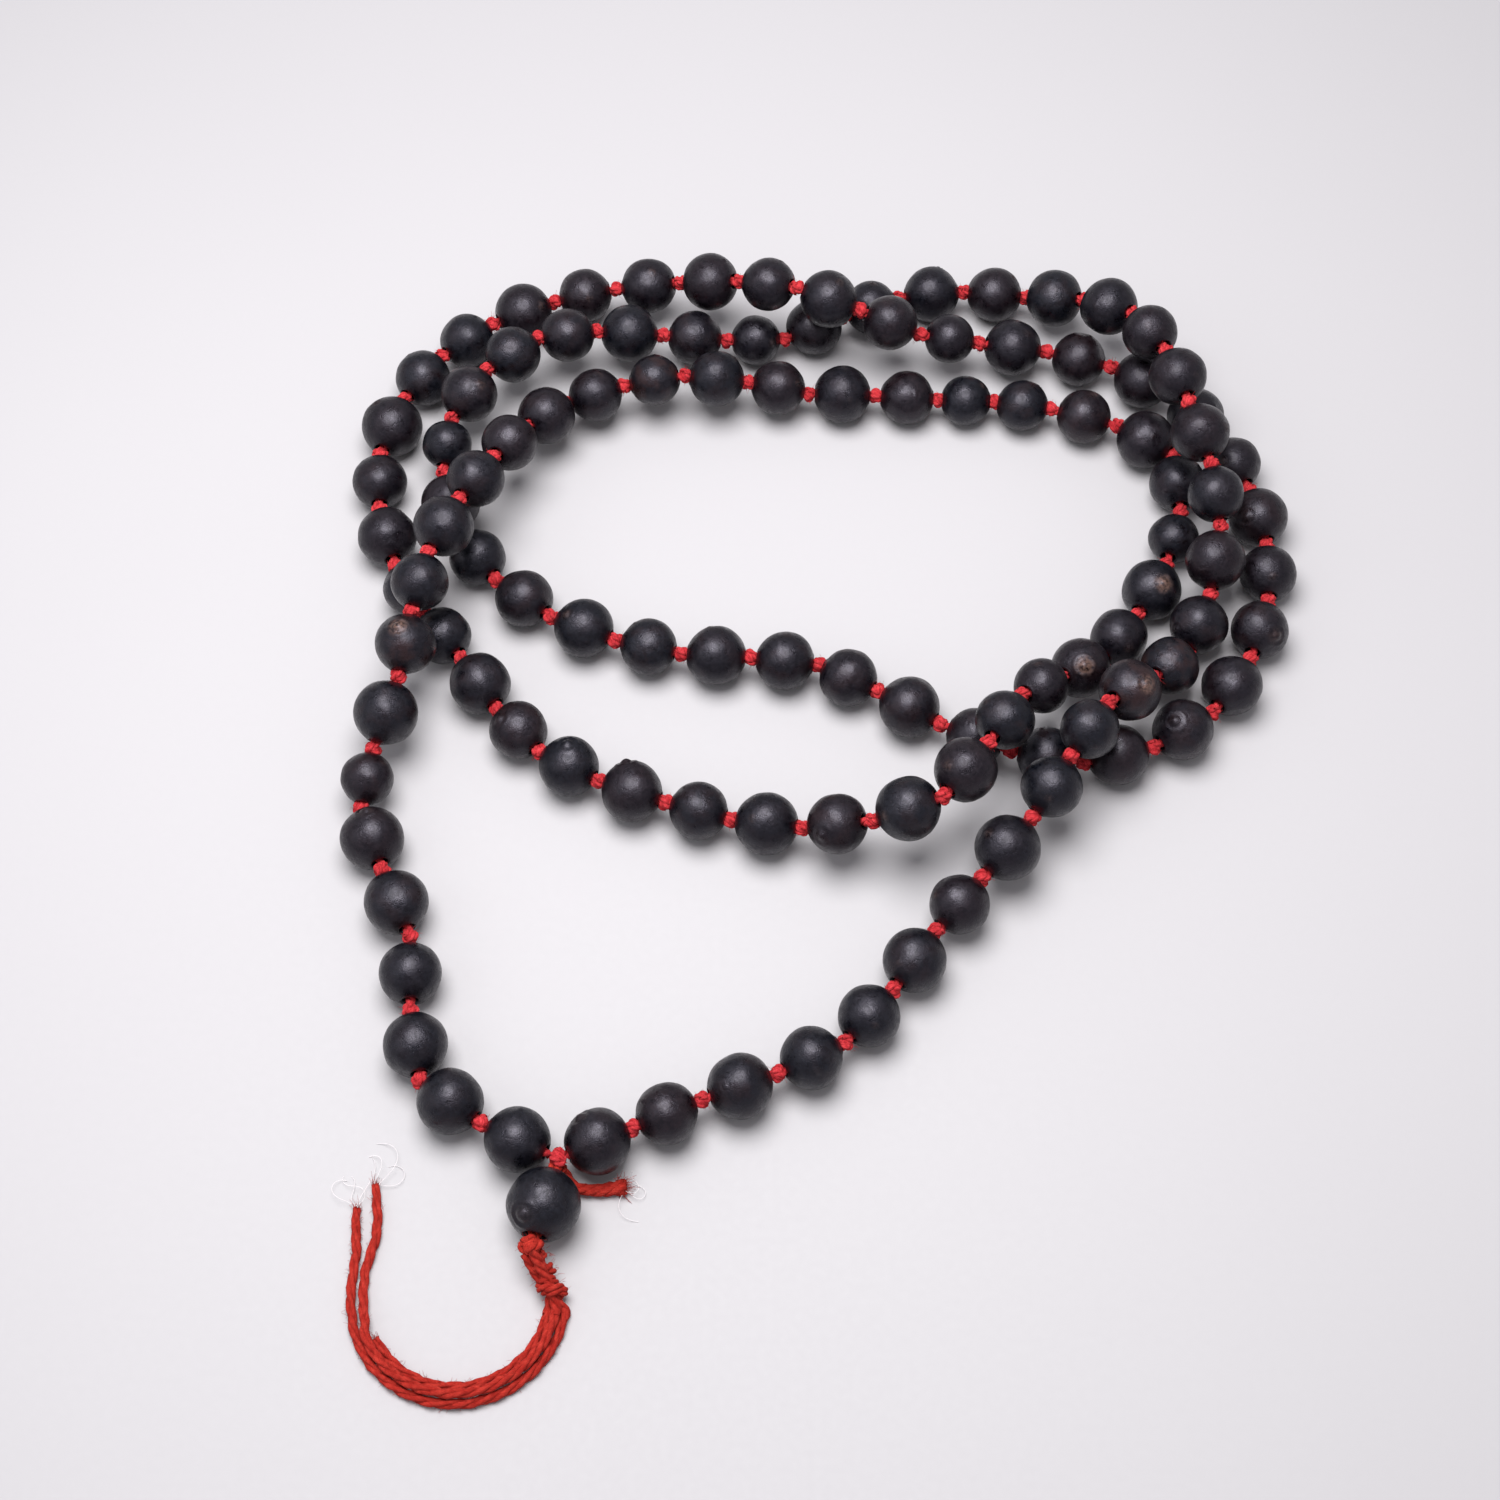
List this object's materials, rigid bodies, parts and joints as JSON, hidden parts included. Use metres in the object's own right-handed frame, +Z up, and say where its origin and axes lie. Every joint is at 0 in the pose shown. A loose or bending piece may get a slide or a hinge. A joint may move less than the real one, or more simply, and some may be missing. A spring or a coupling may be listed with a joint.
{
  "type": "mala prayer beads",
  "caption": "Prayer mala of drilled black lotus seeds on knotted red cotton yarn, laid in overlapping loops, with a guru bead and loose tail yarns.",
  "frame": {"origin": "centre of the laid-out mala without its tail yarns, at table height", "axes": "+Z up from the table; +Y is the long way, from the guru bead towards the looped pile; +X is to the right as seen from the guru bead with the pile beyond it"},
  "size_m": [0.1554, 0.1984, 0.0212],
  "materials": {
    "lotus_seed": "satin",
    "red_yarn": "matte"
  },
  "bodies": {
    "pile": {"strand_cord": "red_yarn", "beads_009_to_025": "lotus_seed", "beads_030_to_033": "lotus_seed", "beads_039_to_043": "lotus_seed", "beads_047_to_060": "lotus_seed", "beads_065_to_069": "lotus_seed", "beads_074_to_100": "lotus_seed"},
    "fold_1_yarn": {"left_cord_1": "red_yarn", "right_cord_1": "red_yarn"},
    "fold_2_yarn": {"left_cord_2": "red_yarn", "right_cord_2": "red_yarn"},
    "fold_3_yarn": {"left_cord_3": "red_yarn", "right_cord_3": "red_yarn"},
    "fold_4_yarn": {"left_cord_4": "red_yarn", "right_cord_4": "red_yarn", "junction_knot": "red_yarn", "cord_stub": "red_yarn"},
    "guru_yarn": {"guru_cord": "red_yarn"},
    "guru": {"guru_bead": "lotus_seed"},
    "tail": {"tail_wrap": "red_yarn", "tail_yarn_outer": "red_yarn", "tail_yarn_middle": "red_yarn", "tail_yarn_cut": "red_yarn"},
    "seed_001": {"bead_001": "lotus_seed"},
    "seed_002": {"bead_002": "lotus_seed"},
    "seed_003": {"bead_003": "lotus_seed"},
    "seed_004": {"bead_004": "lotus_seed"},
    "seed_005": {"bead_005": "lotus_seed"},
    "seed_006": {"bead_006": "lotus_seed"},
    "seed_007": {"bead_007": "lotus_seed"},
    "seed_008": {"bead_008": "lotus_seed"},
    "seed_101": {"bead_101": "lotus_seed"},
    "seed_102": {"bead_102": "lotus_seed"},
    "seed_103": {"bead_103": "lotus_seed"},
    "seed_104": {"bead_104": "lotus_seed"},
    "seed_105": {"bead_105": "lotus_seed"},
    "seed_106": {"bead_106": "lotus_seed"},
    "seed_107": {"bead_107": "lotus_seed"},
    "seed_108": {"bead_108": "lotus_seed"},
    "seed_026": {"bead_026": "lotus_seed"},
    "seed_027": {"bead_027": "lotus_seed"},
    "seed_028": {"bead_028": "lotus_seed"},
    "seed_029": {"bead_029": "lotus_seed"},
    "seed_034": {"bead_034": "lotus_seed"},
    "seed_035": {"bead_035": "lotus_seed"},
    "seed_036": {"bead_036": "lotus_seed"},
    "seed_037": {"bead_037": "lotus_seed"},
    "seed_038": {"bead_038": "lotus_seed"},
    "seed_044": {"bead_044": "lotus_seed"},
    "seed_045": {"bead_045": "lotus_seed"},
    "seed_046": {"bead_046": "lotus_seed"},
    "seed_061": {"bead_061": "lotus_seed"},
    "seed_062": {"bead_062": "lotus_seed"},
    "seed_063": {"bead_063": "lotus_seed"},
    "seed_064": {"bead_064": "lotus_seed"},
    "seed_070": {"bead_070": "lotus_seed"},
    "seed_071": {"bead_071": "lotus_seed"},
    "seed_072": {"bead_072": "lotus_seed"},
    "seed_073": {"bead_073": "lotus_seed"}
  },
  "joints": [
    {"name": "fold_1", "type": "hinge", "parent": "pile", "child": "fold_1_yarn", "pos_m": [-0.066, 0.006, 0.01095], "axis": [-0.9711, 0.2378, 0.0198], "range_deg": [0, 15]},
    {"name": "fold_2", "type": "hinge", "parent": "fold_1_yarn", "child": "fold_2_yarn", "pos_m": [-0.071, -0.014, 0.00453], "axis": [-0.9727, 0.2321, -0.0024], "range_deg": [0, 25]},
    {"name": "fold_3", "type": "hinge", "parent": "fold_2_yarn", "child": "fold_3_yarn", "pos_m": [-0.062, -0.036, 0.00485], "axis": [-0.9675, 0.253, 0.0022], "range_deg": [0, 35]},
    {"name": "fold_4", "type": "hinge", "parent": "fold_3_yarn", "child": "fold_4_yarn", "pos_m": [-0.059, -0.059, 0.00488], "axis": [-0.9973, 0.073, 0.0035], "range_deg": [0, 30]},
    {"name": "guru_lift", "type": "hinge", "parent": "fold_4_yarn", "child": "guru_yarn", "pos_m": [-0.0385, -0.071, 0.00485], "axis": [-0.9725, 0.2329, 0], "range_deg": [0, 50]},
    {"name": "guru_tail_swing", "type": "hinge", "parent": "guru_yarn", "child": "tail", "pos_m": [-0.04167, -0.08426, 0.00579], "axis": [0, 0, 1], "range_deg": [-12, 40]},
    {"name": "guru_spin", "type": "hinge", "parent": "guru_yarn", "child": "guru", "pos_m": [-0.0402, -0.0781, 0.00535], "axis": [-0.2323, -0.9702, 0.069], "continuous": true},
    {"name": "spin_001", "type": "hinge", "parent": "fold_4_yarn", "child": "seed_001", "pos_m": [-0.04451, -0.06819, 0.00486], "axis": [-0.9056, 0.4241, 0.0025], "continuous": true},
    {"name": "spin_002", "type": "hinge", "parent": "fold_4_yarn", "child": "seed_002", "pos_m": [-0.05439, -0.06236, 0.0049], "axis": [-0.8082, 0.589, 0.0006], "continuous": true},
    {"name": "spin_003", "type": "hinge", "parent": "fold_3_yarn", "child": "seed_003", "pos_m": [-0.06011, -0.05348, 0.00487], "axis": [-0.1969, 0.9804, -0.0076], "continuous": true},
    {"name": "spin_004", "type": "hinge", "parent": "fold_3_yarn", "child": "seed_004", "pos_m": [-0.06161, -0.04197, 0.00482], "axis": [-0.0652, 0.9979, 0.0041], "continuous": true},
    {"name": "spin_005", "type": "hinge", "parent": "fold_2_yarn", "child": "seed_005", "pos_m": [-0.06452, -0.03037, 0.00496], "axis": [-0.4084, 0.9128, 0.0068], "continuous": true},
    {"name": "spin_006", "type": "hinge", "parent": "fold_2_yarn", "child": "seed_006", "pos_m": [-0.06902, -0.01937, 0.0049], "axis": [-0.3459, 0.9376, -0.0346], "continuous": true},
    {"name": "spin_007", "type": "hinge", "parent": "fold_1_yarn", "child": "seed_007", "pos_m": [-0.07032, -0.00943, 0.00576], "axis": [0.1417, 0.9563, 0.2559], "continuous": true},
    {"name": "spin_008", "type": "hinge", "parent": "fold_1_yarn", "child": "seed_008", "pos_m": [-0.06782, 0.00057, 0.00897], "axis": [0.3007, 0.8956, 0.3278], "continuous": true},
    {"name": "spin_101", "type": "hinge", "parent": "fold_1_yarn", "child": "seed_101", "pos_m": [0.02812, -0.02243, 0.00767], "axis": [-0.6438, -0.7348, -0.2135], "continuous": true},
    {"name": "spin_102", "type": "hinge", "parent": "fold_1_yarn", "child": "seed_102", "pos_m": [0.02062, -0.03093, 0.00556], "axis": [-0.6571, -0.7392, -0.1478], "continuous": true},
    {"name": "spin_103", "type": "hinge", "parent": "fold_2_yarn", "child": "seed_103", "pos_m": [0.01362, -0.03986, 0.00489], "axis": [-0.5718, -0.8204, 0.0028], "continuous": true},
    {"name": "spin_104", "type": "hinge", "parent": "fold_2_yarn", "child": "seed_104", "pos_m": [0.00662, -0.04886, 0.00474], "axis": [-0.6574, -0.7535, -0.0082], "continuous": true},
    {"name": "spin_105", "type": "hinge", "parent": "fold_3_yarn", "child": "seed_105", "pos_m": [-0.00195, -0.0555, 0.00475], "axis": [-0.8929, -0.4502, 0.0089], "continuous": true},
    {"name": "spin_106", "type": "hinge", "parent": "fold_3_yarn", "child": "seed_106", "pos_m": [-0.01245, -0.06, 0.00488], "axis": [-0.9406, -0.3396, -0.0046], "continuous": true},
    {"name": "spin_107", "type": "hinge", "parent": "fold_4_yarn", "child": "seed_107", "pos_m": [-0.02301, -0.06419, 0.00473], "axis": [-0.9161, -0.4009, -0.0018], "continuous": true},
    {"name": "spin_108", "type": "hinge", "parent": "fold_4_yarn", "child": "seed_108", "pos_m": [-0.0329, -0.06853, 0.00484], "axis": [-0.9151, -0.403, 0.0109], "continuous": true},
    {"name": "spin_026", "type": "hinge", "parent": "pile", "child": "seed_026", "pos_m": [0.05868, 0.03639, 0.00451], "axis": [-0.2968, -0.9549, 0.0071], "continuous": true},
    {"name": "spin_027", "type": "hinge", "parent": "pile", "child": "seed_027", "pos_m": [0.05425, 0.02606, 0.00486], "axis": [-0.4859, -0.8738, 0.0185], "continuous": true},
    {"name": "spin_028", "type": "hinge", "parent": "pile", "child": "seed_028", "pos_m": [0.04825, 0.01706, 0.00473], "axis": [-0.6253, -0.7803, -0.0055], "continuous": true},
    {"name": "spin_029", "type": "hinge", "parent": "pile", "child": "seed_029", "pos_m": [0.04137, 0.00992, 0.00695], "axis": [-0.6891, -0.5857, 0.4268], "continuous": true},
    {"name": "spin_034", "type": "hinge", "parent": "pile", "child": "seed_034", "pos_m": [0.00233, -0.01874, 0.00831], "axis": [-0.8969, 0.1238, -0.4246], "continuous": true},
    {"name": "spin_035", "type": "hinge", "parent": "pile", "child": "seed_035", "pos_m": [-0.00844, -0.01699, 0.00527], "axis": [-0.9789, 0.1813, -0.0939], "continuous": true},
    {"name": "spin_036", "type": "hinge", "parent": "pile", "child": "seed_036", "pos_m": [-0.01894, -0.01449, 0.00473], "axis": [-0.9592, 0.2829, -0.003], "continuous": true},
    {"name": "spin_037", "type": "hinge", "parent": "pile", "child": "seed_037", "pos_m": [-0.02927, -0.01112, 0.00482], "axis": [-0.9417, 0.3365, 0.008], "continuous": true},
    {"name": "spin_038", "type": "hinge", "parent": "pile", "child": "seed_038", "pos_m": [-0.03927, -0.00662, 0.00479], "axis": [-0.875, 0.4841, -0.0092], "continuous": true},
    {"name": "spin_044", "type": "hinge", "parent": "pile", "child": "seed_044", "pos_m": [-0.07269, 0.04756, 0.00481], "axis": [-0.0573, 0.9983, 0.0134], "continuous": true},
    {"name": "spin_045", "type": "hinge", "parent": "pile", "child": "seed_045", "pos_m": [-0.07137, 0.05879, 0.00511], "axis": [0.2709, 0.9626, 0.006], "continuous": true},
    {"name": "spin_046", "type": "hinge", "parent": "pile", "child": "seed_046", "pos_m": [-0.06687, 0.06929, 0.00482], "axis": [0.5203, 0.8537, -0.0229], "continuous": true},
    {"name": "spin_061", "type": "hinge", "parent": "pile", "child": "seed_061", "pos_m": [0.07294, 0.0404, 0.0049], "axis": [0.1662, -0.9861, 0.002], "continuous": true},
    {"name": "spin_062", "type": "hinge", "parent": "pile", "child": "seed_062", "pos_m": [0.07344, 0.0294, 0.00474], "axis": [-0.0821, -0.9966, -0.0078], "continuous": true},
    {"name": "spin_063", "type": "hinge", "parent": "pile", "child": "seed_063", "pos_m": [0.07098, 0.01843, 0.00475], "axis": [-0.3409, -0.9401, 0.0085], "continuous": true},
    {"name": "spin_064", "type": "hinge", "parent": "pile", "child": "seed_064", "pos_m": [0.06548, 0.00793, 0.00487], "axis": [-0.5768, -0.8168, 0.0072], "continuous": true},
    {"name": "spin_070", "type": "hinge", "parent": "pile", "child": "seed_070", "pos_m": [0.00462, 0.00949, 0.00473], "axis": [-0.8791, 0.4766, -0.0063], "continuous": true},
    {"name": "spin_071", "type": "hinge", "parent": "pile", "child": "seed_071", "pos_m": [-0.0054, 0.01263, 0.00477], "axis": [-0.9933, 0.115, 0.0093], "continuous": true},
    {"name": "spin_072", "type": "hinge", "parent": "pile", "child": "seed_072", "pos_m": [-0.0164, 0.01362, 0.00484], "axis": [-0.9977, 0.0669, -0.0074], "continuous": true},
    {"name": "spin_073", "type": "hinge", "parent": "pile", "child": "seed_073", "pos_m": [-0.02728, 0.01527, 0.00473], "axis": [-0.9725, 0.2331, 0.0018], "continuous": true}
  ]
}
